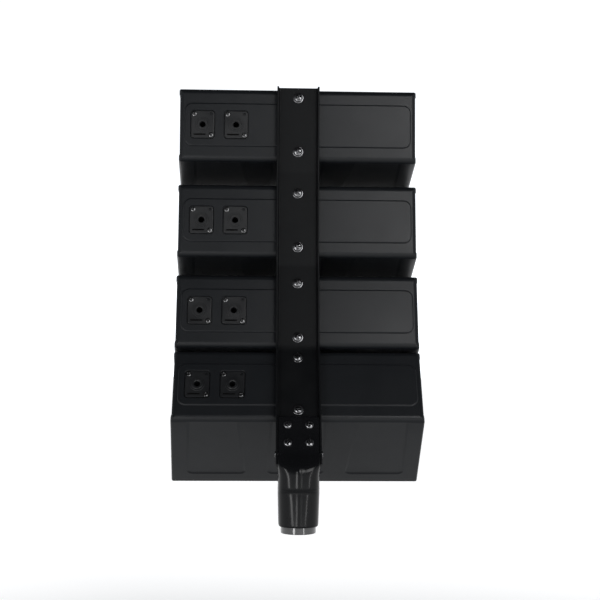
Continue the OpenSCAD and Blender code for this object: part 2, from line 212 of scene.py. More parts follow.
def lathe(profile, steps=48, axis_at=(0, 0), lobes=None):
    """A closed [radius, y] profile turned about the y axis through axis_at = (x, z).
    With lobes, a function of the angle, the radius swells and shrinks round the turn."""
    bm = bmesh.new()
    rings = []
    for k in range(steps):
        a = 2 * math.pi * k / steps
        swell = lobes(a) if lobes else 1.0
        rings.append([Vector((axis_at[0] + max(r, 0.0) * swell * math.cos(a), y,
                              axis_at[1] + max(r, 0.0) * swell * math.sin(a)))
                      for r, y in profile])
    bridge(bm, rings, closed=True)
    bmesh.ops.remove_doubles(bm, verts=bm.verts, dist=1e-5)
    bmesh.ops.dissolve_degenerate(bm, dist=1e-6, edges=bm.edges)
    tidy_normals(bm)
    return bm


def join(*parts):
    """One bmesh that holds all the parts, each a bmesh or a (bmesh, matrix) pair."""
    whole = bmesh.new()
    for part in parts:
        part, matrix = part if isinstance(part, tuple) else (part, Matrix.Identity(4))
        mesh = bpy.data.meshes.new("part")
        part.to_mesh(mesh)
        mesh.transform(matrix)
        whole.from_mesh(mesh)
        bpy.data.meshes.remove(mesh)
    return whole


def to_object(bm, name):
    mesh = bpy.data.meshes.new(name)
    bm.to_mesh(mesh)
    bm.free()
    obj = bpy.data.objects.new(name, mesh)
    bpy.context.scene.collection.objects.link(obj)
    return obj


def apply_modifiers(obj):
    graph = bpy.context.evaluated_depsgraph_get()
    mesh = bpy.data.meshes.new_from_object(obj.evaluated_get(graph))
    obj.modifiers.clear()
    old, obj.data = obj.data, mesh
    bpy.data.meshes.remove(old)


def combine(bm, others, operation="DIFFERENCE"):
    """Cuts each of the other bmeshes from bm, or with UNION joins them to it, as solids."""
    obj = to_object(bm, "work")
    for other in others:
        tool = to_object(other, "tool")
        modifier = obj.modifiers.new("combine", "BOOLEAN")
        modifier.operation = operation
        modifier.solver = "EXACT"
        modifier.object = tool
        apply_modifiers(obj)
        bpy.data.objects.remove(tool)
    result = bmesh.new()
    result.from_mesh(obj.data)
    bpy.data.objects.remove(obj)
    return result


def finish_piece(bm, name, matrix, material, nodes, body=BODY, sharp=35):
    """Makes the piece, shades it, gives it its body, and hides the CAD nodes it stands in for.
    Edges turned by more than sharp degrees stay crisp."""
    obj = to_object(bm, name)
    obj.data.transform(matrix)
    for polygon in obj.data.polygons:
        polygon.use_smooth = True
    obj.data.set_sharp_from_angle(angle=math.radians(sharp))
    normals = obj.modifiers.new("normals", "WEIGHTED_NORMAL")
    normals.keep_sharp = True
    obj.data.materials.append(material)
    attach(obj, body)
    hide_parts(*nodes)


def per_module(bm, name, material, node=None, body=BODY, sharp=35):
    """The same piece in each module. In node and body, {n} stands for its number, and
    the node is the piece's own name and number unless one is given."""
    for n in MODULES:
        copy = bm.copy()
        finish_piece(copy, f"{name}_{n}_look", SEATS[n].matrix, material,
                     [(node or name + "_{n}").format(n=n)], body.format(n=n), sharp)
    bm.free()


# ---- Materials ----

def nodes_of(material):
    material.use_nodes = True
    tree = material.node_tree
    tree.nodes.clear()
    return tree


def link(tree, a, b):
    tree.links.new(a, b)


def add(tree, a, b):
    both = tree.nodes.new("ShaderNodeMath")
    both.operation = "ADD"
    link(tree, a, both.inputs[0])
    link(tree, b, both.inputs[1])
    return both.outputs[0]


def fade(tree, value, span, levels, kind="SMOOTHSTEP"):
    """A level that goes from the first of two to the second as value crosses the span."""
    node = tree.nodes.new("ShaderNodeMapRange")
    node.interpolation_type = kind
    node.inputs["From Min"].default_value, node.inputs["From Max"].default_value = span
    node.inputs["To Min"].default_value, node.inputs["To Max"].default_value = levels
    link(tree, value, node.inputs["Value"])
    return node.outputs["Result"]


def noise(tree, place, scale, detail, roughness=0.5):
    node = tree.nodes.new("ShaderNodeTexNoise")
    node.inputs["Scale"].default_value = scale
    node.inputs["Detail"].default_value = detail
    node.inputs["Roughness"].default_value = roughness
    link(tree, place, node.inputs["Vector"])
    return node.outputs["Fac"]


NOISE_SPAN = (0.3, 0.7)
PATCH_SCALE = 3.1
LEAST_ROUGH = 0.02


def tint_ramp(tree, value, colour, tint):
    """The colour, from a little darker to a little lighter as value grows."""
    ramp = tree.nodes.new("ShaderNodeValToRGB")
    for element, position, side in zip(ramp.color_ramp.elements, NOISE_SPAN, (-1, 1)):
        element.position = position
        element.color = (*[c * (1 + side * tint) for c in colour], 1)
    link(tree, value, ramp.inputs["Fac"])
    return ramp.outputs["Color"]


def grain_bump(tree, place, grain, pits, strength, depth):
    """A fine grain. Where pits isn't 0, it has round pits too, at pits times its scale."""
    height = noise(tree, place, grain, 3)
    if pits:
        cells = tree.nodes.new("ShaderNodeTexVoronoi")
        cells.feature = "SMOOTH_F1"
        cells.inputs["Scale"].default_value = grain * pits
        link(tree, place, cells.inputs["Vector"])
        height = add(tree, height, cells.outputs["Distance"])
    bump = tree.nodes.new("ShaderNodeBump")
    bump.inputs["Strength"].default_value = strength
    bump.inputs["Distance"].default_value = depth
    link(tree, height, bump.inputs["Height"])
    return bump.outputs["Normal"]


def finish_material(name, colour, rough, *, metal=0.0, coat=0.0, coat_rough=0.1, tint=0.15,
                    tint_scale=14.0, grain=900.0, grain_depth=0.00006, grain_strength=0.35,
                    rough_spread=0.08, specular=0.5, pits=0.0):
    """A procedural surface: broad colour and gloss variation over a fine grain."""
    material = bpy.data.materials.new(name)
    tree = nodes_of(material)
    out = tree.nodes.new("ShaderNodeOutputMaterial")
    surface = tree.nodes.new("ShaderNodeBsdfPrincipled")
    link(tree, surface.outputs["BSDF"], out.inputs["Surface"])
    surface.inputs["Metallic"].default_value = metal
    surface.inputs["Coat Weight"].default_value = coat
    surface.inputs["Coat Roughness"].default_value = coat_rough
    surface.inputs["Specular IOR Level"].default_value = specular
    place = tree.nodes.new("ShaderNodeTexCoord").outputs["Object"]

    broad = noise(tree, place, tint_scale, 5, 0.6)
    link(tree, tint_ramp(tree, broad, colour, tint), surface.inputs["Base Color"])
    patches = noise(tree, place, tint_scale * PATCH_SCALE, 6)
    levels = max(rough - rough_spread, LEAST_ROUGH), min(rough + rough_spread, 1.0)
    gloss = fade(tree, patches, NOISE_SPAN, levels, "LINEAR")
    link(tree, gloss, surface.inputs["Roughness"])
    normal = grain_bump(tree, place, grain, pits, grain_strength, grain_depth)
    link(tree, normal, surface.inputs["Normal"])
    return material


MOULDING = finish_material("cabinet_moulding", (0.0058, 0.0066, 0.0078), 0.34,
                           specular=0.22, tint=0.08, rough_spread=0.02, grain=1100,
                           grain_depth=0.00005, grain_strength=0.5, pits=0.8)
BAFFLE = finish_material("baffle_moulding", (0.02, 0.02, 0.021), 0.6, grain=900)
RAIL = finish_material("rail_powder_coat", (0.003, 0.0033, 0.0038), 0.4, specular=0.09,
                       grain=1600, grain_depth=0.00004, grain_strength=0.5, tint=0.1)
GRILLE = finish_material("grille_powder_coat", (0.022, 0.022, 0.023), 0.45, grain=1600)
GLOSS = finish_material("bracket_gloss_coat", (0.004, 0.0042, 0.0048), 0.22, coat=0.1,
                        coat_rough=0.06, specular=0.1, grain=60, grain_depth=0.0004,
                        grain_strength=0.06, tint=0.2, rough_spread=0.05)
SLEEVE = finish_material("sleeve_gloss", (0.015, 0.015, 0.016), 0.15, coat=0.8, coat_rough=0.05,
                         grain=300, grain_depth=0.0001, grain_strength=0.05)
SCREW = finish_material("black_oxide", (0.15, 0.15, 0.155), 0.2, metal=1.0, grain=1500,
                        grain_depth=0.00003, tint=0.25, tint_scale=200)
DARK_SCREW = finish_material("black_zinc", (0.11, 0.11, 0.112), 0.25, metal=1.0, grain=1500,
                             grain_depth=0.00003, tint=0.25, tint_scale=200)
ZINC = finish_material("zinc_plate", (0.55, 0.55, 0.56), 0.35, metal=1.0, grain=1200,
                       grain_depth=0.00003, tint_scale=60)
BRASS = finish_material("brass", (0.62, 0.43, 0.18), 0.32, metal=1.0, grain=1200,
                        grain_depth=0.00003, tint_scale=60)
BASKET = finish_material("basket_paint", (0.03, 0.03, 0.03), 0.45, grain=800)
FERRITE = finish_material("ferrite", (0.05, 0.05, 0.052), 0.5, metal=0.3, grain=700, tint=0.3)
RUBBER = finish_material("surround_rubber", (0.02, 0.02, 0.02), 0.62, grain=1400)
PULP = finish_material("cone_pulp", (0.03, 0.03, 0.03), 0.8, grain=500, grain_depth=0.0002,
                       grain_strength=0.7, tint=0.3, tint_scale=80)
HORN = finish_material("horn_plastic", (0.02, 0.02, 0.02), 0.4, grain=1000)
BOARD = finish_material("board_green", (0.02, 0.12, 0.05), 0.35, grain=400, tint=0.3,
                        tint_scale=120)
JACK = finish_material("jack_plastic", (0.006, 0.0064, 0.0072), 0.36, grain=1300, specular=0.3)
LABEL = finish_material("label_ink", (0.0015, 0.0015, 0.0015), 0.9, grain=1300, specular=0.05)
KNOB = finish_material("knob_plastic", (0.02, 0.02, 0.021), 0.5, grain=1100, pits=0.8)
WOOL = finish_material("damping_wool", (0.42, 0.42, 0.4), 0.95, grain=260, grain_depth=0.001,
                       grain_strength=0.9, tint=0.25, tint_scale=60)

# CAD nodes whose shape is right keep it and take a finish of their own.
KEPT = {"rail_inserts": BRASS, "bracket_nuts": ZINC, "clamp_pad": BRASS}
for n in MODULES:
    KEPT.update({f"baffle_{n}": BAFFLE, f"woofer_baskets_{n}": BASKET,
                 f"woofer_magnets_{n}": FERRITE, f"tweeter_motor_{n}": FERRITE,
                 f"crossover_{n}": BOARD})
for name, material in KEPT.items():
    mesh = frame["nodes"][name].data
    mesh.materials.clear()
    mesh.materials.append(material)


# ---- Cabinets ----

def tapered_block(back, front, inset):
    """The cabinet's wedge between two depths, its sides moved in by inset."""
    rings = []
    for d in (back, front):
        w, h = half_w(d) - inset, half_h(d) - inset
        rings.append([Vector((x, -d, z)) for x, z in ((-w, -h), (w, -h), (w, h), (-w, h))])
    return stack(rings)


def edge_arc(r, steps):
    """A rounded edge, as pairs of the distance from the face and the inset."""
    return [(r * (1 - math.sin(a)), r * (1 - math.cos(a)))
            for a in (math.pi / 2 * k / steps for k in range(steps + 1))]


def shell_block():
    """The outer block: small corners all round, a softer rear edge and a crisp front rim."""
    sections = [(PLATEAU_T + d, inset) for d, inset in edge_arc(REAR_EDGE_R, 6)]
    sections += [(DEPTH * t, 0.0) for t in (0.25, 0.5, 0.75)]
    sections += [(DEPTH - d, inset) for d, inset in edge_arc(FRONT_EDGE_R, 3)]
    rings = []
    for d, inset in sorted(sections):
        w, h = 2 * (half_w(d) - inset), 2 * (half_h(d) - inset)
        rings.append(backward(rounded_rect(w, h, max(CORNER_R - inset, 0.4), 4), -d))
    return stack(rings)


# Channels: each is given by its middle, and half its width at the rear and at the front.
CHANNELS = ((0.0, 30.0, 33.0), (90.5, 27.5, 34.5), (-90.5, 27.5, 34.5))
CHANNEL_DEPTH, CHANNEL_FRONT, CHANNEL_CORNER_R = 1.2, 121.0, 8
CHANNEL_REAR_SHARE = 0.2
# The cutters run out past the rear face, where their corners don't show.
PAST_REAR = 12
OPEN_CORNER_R = 0.5


def channel_cutter(middle, rear_half, front_half, face):
    """A channel that deepens forward, in the top (face 1) or the underside (-1)."""
    rings = []
    for lift, inset in ((0.6, -1.0), (-0.2, 0.4), (-CHANNEL_DEPTH + 0.2, 2.6),
                        (-CHANNEL_DEPTH, 3.6)):
        front = -CHANNEL_FRONT + inset / 2
        corner = CHANNEL_CORNER_R - inset
        outline = rounded([(-rear_half + inset, PAST_REAR), (-front_half + inset, front),
                           (front_half - inset, front), (rear_half - inset, PAST_REAR)],
                          [OPEN_CORNER_R, corner, corner, OPEN_CORNER_R])
        ring = []
        for p in outline:
            share = max(CHANNEL_REAR_SHARE, min(1.0, -p.y / CHANNEL_FRONT)) ** 2
            z = half_h(-p.y) + (lift if lift > 0 else lift * share)
            ring.append(Vector((middle + p.x, p.y, face * z)))
        rings.append(ring)
    return stack(rings)


PANEL_RIM, PANEL_FRONT, PANEL_PAST_REAR, PANEL_CORNER_R = 7.0, 126, 6, 5


def side_cutter(side):
    """The shallow panel of a side wall, between its rims."""
    rear_z, front_z = half_h(0) - PANEL_RIM, half_h(PANEL_FRONT) - PANEL_RIM
    rings = []
    for lift, inset in ((0.6, -0.5), (-0.65, 0.7), (-1.0, 1.4)):
        front = -PANEL_FRONT + inset
        corner = PANEL_CORNER_R - inset
        outline = rounded([(PANEL_PAST_REAR, rear_z - inset), (front, front_z - inset),
                           (front, -front_z + inset), (PANEL_PAST_REAR, -rear_z + inset)],
                          [OPEN_CORNER_R, corner, corner, OPEN_CORNER_R])
        rings.append([Vector((side * (half_w(-p.x) + lift), p.x, p.y)) for p in outline])
    return stack(rings)


PLATEAU_W, PLATEAU_H, PLATEAU_R = 259.0, 50.0, 9.0


def plateau():
    """The raised rear panel, with a rounded shoulder."""
    rings = []
    for y, inset in ((0, 1.7), (-0.25, 1.0), (-0.75, 0.45), (-PLATEAU_T, 0), (-4, 0)):
        rings.append(backward(rounded_rect(PLATEAU_W - 2 * inset, PLATEAU_H - 2 * inset,
                                           PLATEAU_R - inset), y))
    return stack(rings)


# A jack's plate: its width, height and corner radius.
JACK_PLATE = (26.0, 31.0, 3.0)
JACK_GAP, JACK_SUNK = 0.7, 2.0


def pocket(x):
    """The sunk seat of one jack plate, its mouth a little wider."""
    w, h, r = JACK_PLATE
    rings = []
    for y, more in ((1, 0.9), (0, 0.5), (-0.5, 0), (-JACK_SUNK, 0)):
        grow = JACK_GAP + more
        ring = backward(rounded_rect(w + 2 * grow, h + 2 * grow, r + grow), y)
        rings.append([p + Vector((x, 0, 0)) for p in ring])
    return stack(rings)


def hole(x, z, r, y_from, y_to, steps=32):
    """A round cutter along y, centred on x and z."""
    ring = [p + Vector((x, z)) for p in circle(r, steps)]
    return stack([backward(ring, y_from), backward(ring, y_to)])


# The reach in y of a cutter that goes through the rear wall.
REAR_WALL = (5, -12)
BARREL_HOLE_R, RAIL_SCREW_HOLE_R = 11.5, 4.55


def make_cabinets():
    shell = combine(shell_block(), [plateau()], "UNION")
    cutters = [tapered_block(PLATEAU_T + WALL, BAFFLE_BACK + 1, WALL + LEDGE),
               tapered_block(BAFFLE_BACK, DEPTH + 5, RIM)]
    for face in (1, -1):
        cutters += [channel_cutter(*channel, face) for channel in CHANNELS]
    cutters += [side_cutter(1), side_cutter(-1)]
    cutters += [pocket(x) for x in JACK_X]
    cutters += [hole(x, 0, BARREL_HOLE_R, *REAR_WALL) for x in JACK_X]
    cutters += [hole(0, z, RAIL_SCREW_HOLE_R, *REAR_WALL) for z in (SCREW_REACH, -SCREW_REACH)]
    per_module(combine(shell, cutters), "cabinet", MOULDING)


make_cabinets()


# ---- Grilles ----

MESH_PITCH, MESH_HOLE_R, MESH_T = 5.0, 1.95, 1.2


def hexagon(x, z, r):
    return [(x + r * math.cos(a), z + r * math.sin(a))
            for a in (math.radians(30 + 60 * k) for k in range(6))]


def cell_centres(width, height):
    """The middles of the cells in a honeycomb field, row by row."""
    step_z = MESH_PITCH * math.sqrt(3) / 2
    rows, columns = int(height / 2 / step_z), int(width / 2 / MESH_PITCH)
    for row in range(-rows, rows + 1):
        shift = MESH_PITCH / 2 if row % 2 else 0.0
        for column in range(-columns, columns + 1):
            x = column * MESH_PITCH + shift
            if abs(x) <= width / 2:
                yield x, row * step_z


def honeycomb(width, height, front_y):
    """A field of hexagonal cells, each with a hexagonal hole through it."""
    bm = bmesh.new()
    corners = {}

    def corner(x, z, y):
        key = (round(x, 2), round(z, 2), y)
        if key not in corners:
            corners[key] = bm.verts.new((x, y, z))
        return corners[key]

    for x, z in cell_centres(width, height):
        lips = []
        for y, order in ((front_y, 1), (front_y + MESH_T, -1)):
            rim = [corner(*p, y) for p in hexagon(x, z, MESH_PITCH / math.sqrt(3))]
            lip = [bm.verts.new((p[0], y, p[1])) for p in hexagon(x, z, MESH_HOLE_R)]
            lips.append(lip)
            for k in range(6):
                j = (k + 1) % 6
                bm.faces.new((rim[k], rim[j], lip[j], lip[k])[::order])
        front, rear = lips
        for k in range(6):
            j = (k + 1) % 6
            bm.faces.new((front[k], front[j], rear[j], rear[k]))
    return bm


GRILLE_GAP = RIM + 0.3
PAN_EDGE, PAN_FRAME, PAN_R = 1.5, 6.5, 4
FIELD_SUNK = 0.15


def make_grilles():
    """A folded pan round each grille's edge, and a honeycomb field inside it."""
    rings = []
    for d, inset in ((GRILLE_FRONT - 1.5, 0), (GRILLE_FRONT - 0.4, 0.4),
                     (GRILLE_FRONT, PAN_EDGE), (GRILLE_FRONT, PAN_FRAME),
                     (GRILLE_BACK, PAN_FRAME), (GRILLE_BACK, PAN_EDGE),
                     (BAFFLE_FRONT, PAN_EDGE), (BAFFLE_FRONT, 0)):
        w, h = 2 * (half_w(d) - GRILLE_GAP - inset), 2 * (half_h(d) - GRILLE_GAP - inset)
        rings.append(backward(rounded_rect(w, h, max(PAN_R - inset, 1)), -d))
    pan = bmesh.new()
    bridge(pan, rings, closed=True)
    field_edge = GRILLE_GAP + PAN_FRAME - 1
    field = honeycomb(2 * (half_w(GRILLE_BACK) - field_edge) - 0.6 * MESH_PITCH,
                      2 * (half_h(GRILLE_BACK) - field_edge) - 0.5 * MESH_PITCH,
                      FIELD_SUNK - GRILLE_FRONT)
    per_module(join(pan, field), "grille", GRILLE)


make_grilles()


# ---- Drivers ----

def arc_points(centre, r, first, last, steps):
    """An arc between two angles in degrees."""
    return [(centre[0] + r * math.cos(math.radians(first + (last - first) * k / steps)),
             centre[1] + r * math.sin(math.radians(first + (last - first) * k / steps)))
            for k in range(steps + 1)]


def both_woofers(profile):
    """A [radius, distance ahead of the baffle] profile, turned about both woofers' axes."""
    turned = [(r, -BAFFLE_FRONT - ahead) for r, ahead in profile]
    return join(lathe(turned, 64, (WOOFER_X, 0)), lathe(turned, 64, (-WOOFER_X, 0)))


ROLL_AT, ROLL_R, ROLL_INNER_R = (38.9, -0.6), 2.5, 1.6
COIL_R, SPIDER_R, SPIDER_BACK = 13.8, 31.4, 33
SPIDER_WAVES = 6


def make_suspensions():
    """Each woofer's half-roll surround and its corrugated spider."""
    surround = arc_points(ROLL_AT, ROLL_R, 180, 25, 10)
    surround += [(47.5, 2.9), (47.5, 2.5), (40.4, 2.5)]
    surround += arc_points(ROLL_AT, ROLL_INNER_R, 25, 180, 10)
    steps = 4 * SPIDER_WAVES
    spider = [(COIL_R, -SPIDER_BACK)]
    spider += [(COIL_R + (SPIDER_R - COIL_R) * k / steps,
                0.7 - SPIDER_BACK + 0.4 * math.sin(math.pi * k / 2)) for k in range(steps + 1)]
    spider += [(SPIDER_R, -SPIDER_BACK)]
    per_module(join(both_woofers(surround), both_woofers(spider)), "woofer_suspension",
               RUBBER)


FORMER_R, NECK_R, CAP_R, CONE_R = 12.6, 13.4, 17.0, 36.0
CONE_DEPTH, CONE_CURVE = 24, 0.86


def cone_side(neck, shares):
    """The cone's curve from a neck height, at shares of the way out to its edge."""
    return [(NECK_R + (CONE_R - NECK_R) * t, neck + CONE_DEPTH * t ** CONE_CURVE)
            for t in shares]


def make_cones():
    """Each woofer's coil former, cone and dust cap, as one closed profile."""
    former = [(FORMER_R, -46), (NECK_R, -46), (NECK_R, -27.2)]
    behind = cone_side(-27.2, [k / 12 for k in range(1, 13)])
    lip = [(CONE_R, -1.6), (35.0, -2.0)]
    face = [p for p in cone_side(-25.9, [1 - k / 12 for k in range(1, 11)])
            if p[0] > CAP_R + 0.3]
    cap = [(CAP_R * t, -18 - 4.4 * t * t) for t in (1 - k / 8 for k in range(9))]
    under = [(FORMER_R * t, -19.2 - 5.3 * t * t) for t in (k / 8 for k in range(9))]
    per_module(both_woofers(former + behind + lip + face + cap + under), "woofer_cones",
               PULP, body="cones_{n}")


# The horn's sections, from its flange into the throat and back outside it: depth, width,
# height and corner radius.
HORN_SECTIONS = ((129, 72, 98, 5), (131.5, 72, 98, 5), (132, 71, 97, 4.5), (132, 62, 88, 6),
                 (130.8, 58, 84, 7), (126, 48, 78, 8), (116, 30, 62, 8), (106, 19, 46, 6),
                 (99.5, 13, 35, 4), (99.5, 34, 40, 6), (112, 44, 60, 8), (126, 58, 84, 8),
                 (129, 60, 86, 6))


def make_horns():
    bm = bmesh.new()
    bridge(bm, [backward(rounded_rect(w, h, r, 8), -d) for d, w, h, r in HORN_SECTIONS],
           closed=True)
    per_module(bm, "tweeter_horn", HORN, sharp=50)


make_suspensions()
make_cones()
make_horns()


# ---- Damping ----

PAD_D, PAD_H, PAD_T = 54, 58, 5.2
PAD_GRID = 24
WALL_X, PAD_BACK = 126.5, 60


def wool_pad(n, side):
    """A loose wool pad against one side wall, uneven as cut wool is."""
    bm = bmesh.new()
    bmesh.ops.create_grid(bm, x_segments=PAD_GRID, y_segments=PAD_GRID, size=0.5)
    for v in bm.verts:
        x, y = v.co.x, v.co.y
        edge = min(0.5 - abs(x), 0.5 - abs(y)) * PAD_GRID
        swell = 1 - math.exp(-edge)
        ripple = 0.25 * math.sin(23 * x + 3 * n) * math.sin(19 * y + side)
        v.co = Vector((PAD_T / 2 + swell + ripple * swell, PAD_D * x, PAD_H * y))
    bmesh.ops.solidify(bm, geom=bm.faces[:], thickness=PAD_T)
    tidy_normals(bm)
    turn = Matrix.Scale(-side, 4, SIDE)
    return bm, Matrix.Translation((side * WALL_X, -PAD_BACK, 0)) @ turn


def make_damping():
    """All the pads, as the one piece that takes the place of their one CAD node."""
    pads = [(join(wool_pad(n, 1), wool_pad(n, -1)), SEATS[n].matrix) for n in MODULES]
    finish_piece(join(*pads), "damping_pads_look", Matrix.Identity(4), WOOL,
                 ["damping_pads"], sharp=60)


make_damping()


# ---- Fasteners ----

def cross_recess(size, depth, top):
    """A cross for a screwdriver: two tapered slots, from the top down."""
    arms = []
    for turn in (0, 90):
        rings = []
        for y, k in ((top + 1, 1.3), (top, 1.1), (top - depth, 0.6)):
            ring = rounded_rect(size * k, size * 0.27 * k, size * 0.1 * k, 3)
            rings.append(backward(ring, y))
        bm = stack(rings)
        bm.transform(Matrix.Rotation(math.radians(turn), 4, "Y"))
        arms.append(bm)
    return arms


def pan_screw(shank_r, head_r, head_h, length, turn=0.0, washer=None):
    """A pan-head screw along y: its head stands behind y = 0, its shank ahead of it.
    A washer is given by its radius and thickness, and the head then stands on it."""
    crown = [(head_r * math.cos(a) ** 0.75, head_h * (0.42 + 0.58 * math.sin(a)))
             for a in (math.pi / 2 * k / 9 for k in range(9))]
    profile = [(0, -length), (shank_r * 0.8, -length), (shank_r, -length + 1),
               (shank_r, 0), (head_r * 0.97, 0), (head_r, head_h * 0.12)]
    bm = lathe(profile + crown + [(0, head_h)], 40)
    bm = combine(bm, cross_recess(head_r * 1.3, head_h * 0.75, head_h))
    bm.transform(Matrix.Rotation(math.radians(turn), 4, "Y"))
    if washer:
        r, thickness = washer
        bore_r = shank_r + 0.1
        ring = lathe([(bore_r, 0), (r, 0), (r, thickness * 0.6), (r - 0.35, thickness),
                      (bore_r, thickness)], 48)
        bm.transform(Matrix.Translation((0, thickness, 0)))
        bm = join(ring, bm)
    return bm


def finish_screws(screws, node):
    """One piece from (screw, matrix) pairs, in place of their one CAD node."""
    finish_piece(join(*screws), f"{node}_look", Matrix.Identity(4), SCREW,
                 [node])


# Screws: shank radius, head radius, head height and length.
RAIL_SCREW, RAIL_WASHER = (3.0, 5.1, 3.5, 15.4), (5.8, 0.6)
BRACKET_SCREW = (2.5, 4.4, 2.7, 13.5)
SIDE_SCREW = (2.0, 3.0, 1.35, 12)
BAFFLE_SCREW = (2.0, 3.5, 1.3, 14)
JACK_SCREW = (1.5, 2.7, 0.95, 4)

# The rail's web and the bracket's plate, which the screws' heads bear on.
WEB_T, PLATE_T = 2.5, 6.0
BRACKET_SCREW_X, BRACKET_SCREW_DOWN = 11.35, (51, 71)
SIDE_SCREW_AT = (24, 6, -82.5)
BAFFLE_SCREW_X, BAFFLE_SCREW_Z = (-130, -41, 41, 130), (-46, 46)


def make_rail_screws():
    screws = []
    for n in MODULES:
        for side, turn in ((1, 20 * n), (-1, 35 + 25 * n)):
            place = SEATS[n].matrix @ Matrix.Translation((0, WEB_T, side * SCREW_REACH))
            screws.append((pan_screw(*RAIL_SCREW, turn, RAIL_WASHER), place))
    finish_screws(screws, "rail_screws")


def make_bracket_screws():
    """The four screws through the bracket's plate, and the one in each of its sides."""
    seat = SEATS[4].matrix
    screws = []
    for k, (down, side) in enumerate((d, x) for d in BRACKET_SCREW_DOWN for x in (-1, 1)):
        at = (side * BRACKET_SCREW_X, WEB_T + PLATE_T, -down)
        screws.append((pan_screw(*BRACKET_SCREW, 28 * k + 12),
                       seat @ Matrix.Translation(at)))
    finish_screws(screws, "bracket_screws")
    screws = []
    for side in (1, -1):
        x, y, z = SIDE_SCREW_AT
        turn = Matrix.Rotation(math.radians(-90 * side), 4, "Z")
        place = seat @ Matrix.Translation((side * x, y, z)) @ turn
        screws.append((pan_screw(*SIDE_SCREW, 20 * side), place))
    finish_screws(screws, "bracket_side_screws")


def make_baffle_screws():
    """The baffles' screws, whose heads face forward."""
    flip = Matrix.Rotation(math.pi, 4, "Z")
    screws = []
    for n in MODULES:
        for x in BAFFLE_SCREW_X:
            for z in BAFFLE_SCREW_Z:
                place = SEATS[n].matrix @ Matrix.Translation((x, -BAFFLE_FRONT, z)) @ flip
                screws.append((pan_screw(*BAFFLE_SCREW, 17 * x + z), place))
    finish_screws(screws, "baffle_screws")


make_rail_screws()
make_bracket_screws()
make_baffle_screws()


# ---- Jack sockets ----

BARREL_R, BARREL_BORE_R, BARREL_END = 11, 3.3, 26
COLLAR = ((BARREL_BORE_R, -1), (8.2, -1), (8.2, 0.35), (7.9, 0.6), (6.3, 0.6), (6.15, 0.75),
          (6.15, 1.15), (5.8, JACK_NUT_T), (4.0, JACK_NUT_T), (BARREL_BORE_R, 0.9))
COLLAR_HOLE_R = 7.0
JACK_SCREW_X, JACK_SCREW_Z, JACK_SCREW_SUNK = 9.5, 12.0, 1.0
COUNTERBORE_R, SPARE_HOLE_R = 2.95, 1.8
LABEL_AT, LABEL_SIZE, LABEL_SUNK = (3.4, -11.4), (13.4, 1.5), 0.5


def label_bar(grow, y_from, y_to):
    """The plain bar that stands in for a plate's lettering, made larger by grow."""
    w, h = LABEL_SIZE[0] + grow, LABEL_SIZE[1] + grow
    outline = [p + Vector(LABEL_AT) for p in rounded_rect(w, h, 0.6, 4)]
    return stack([backward(outline, y_from), backward(outline, y_to)])


def jack(x):
    """One jack socket: its plate, with two screw seats and one open hole, barrel and collar."""
    w, h, r = JACK_PLATE
    plate = stack([backward(rounded_rect(w - 2 * i, h - 2 * i, r - i), y)
                   for y, i in ((-JACK_SUNK, 0), (-0.45, 0), (-0.12, 0.15), (0, 0.5))])
    barrel = lathe([(BARREL_BORE_R, -BARREL_END), (BARREL_R, -BARREL_END), (BARREL_R, -1),
                    (BARREL_BORE_R, -1)], 40)
    cuts = [hole(0, 0, COLLAR_HOLE_R, 2, -4)]
    for side in (1, -1):
        cuts.append(hole(side * JACK_SCREW_X, side * JACK_SCREW_Z, COUNTERBORE_R, 1,
                         -JACK_SCREW_SUNK - 0.1, 24))
    cuts.append(hole(-JACK_SCREW_X, JACK_SCREW_Z, SPARE_HOLE_R, 1, -3, 24))
    cuts.append(label_bar(0.4, 1, -LABEL_SUNK))
    whole = join(combine(plate, cuts), barrel, lathe(COLLAR, 48))
    whole.transform(Matrix.Translation((x, 0, 0)))
    return whole


def make_jacks():
    per_module(join(*[jack(x) for x in JACK_X]), "jack_sockets", JACK)
    labels = []
    screws = []
    for x in JACK_X:
        labels.append((label_bar(0, -LABEL_SUNK - 0.1, -LABEL_SUNK + 0.2),
                       Matrix.Translation((x, 0, 0))))
        for side in (1, -1):
            at = (x + side * JACK_SCREW_X, -JACK_SCREW_SUNK, side * JACK_SCREW_Z)
            screws.append((pan_screw(*JACK_SCREW, 25 * side + x), Matrix.Translation(at)))
    per_module(join(*labels), "jack_labels", LABEL, "jack_sockets_{n}")
    per_module(join(*screws), "jack_screws", DARK_SCREW)


make_jacks()


# ---- Spine rail ----

RAIL_W, FLANGE_T, RAIL_H = 48.0, 2.0, 10.0
RAIL_UP, RAIL_DOWN = 42.5, 95.0
BEND_R, BEND_STEPS = 40.0, 8
FOLD_R, FOLD_INNER_R, EDGE_R = 3.6, 1.8, 0.45
RAIL_BORE_R, THROUGH_WEB = 3.3, (6, -3)


def rail_line():
    """Stations along the rail's seat, as (y, z, tilt), with an arc at each bend."""
    stations = [(*SEATS[1].at(0, RAIL_UP), SEATS[1].tilt)]
    for n in MODULES[:-1]:
        a, b = SEATS[n], SEATS[n + 1]
        half = (a.point - b.point).length / (a.up + b.up).length
        corner = a.at(0, -half)
        middle = (a.tilt + b.tilt) / 2
        reach = BEND_R / math.cos((b.tilt - a.tilt) / 2)
        centre = corner + reach * Vector((math.cos(middle), math.sin(middle)))
        for k in range(BEND_STEPS + 1):
            t = a.tilt + (b.tilt - a.tilt) * k / BEND_STEPS
            p = centre - BEND_R * Vector((math.cos(t), math.sin(t)))
            stations.append((*p, t))
    stations.append((*SEATS[4].at(0, -RAIL_DOWN), SEATS[4].tilt))
    return stations


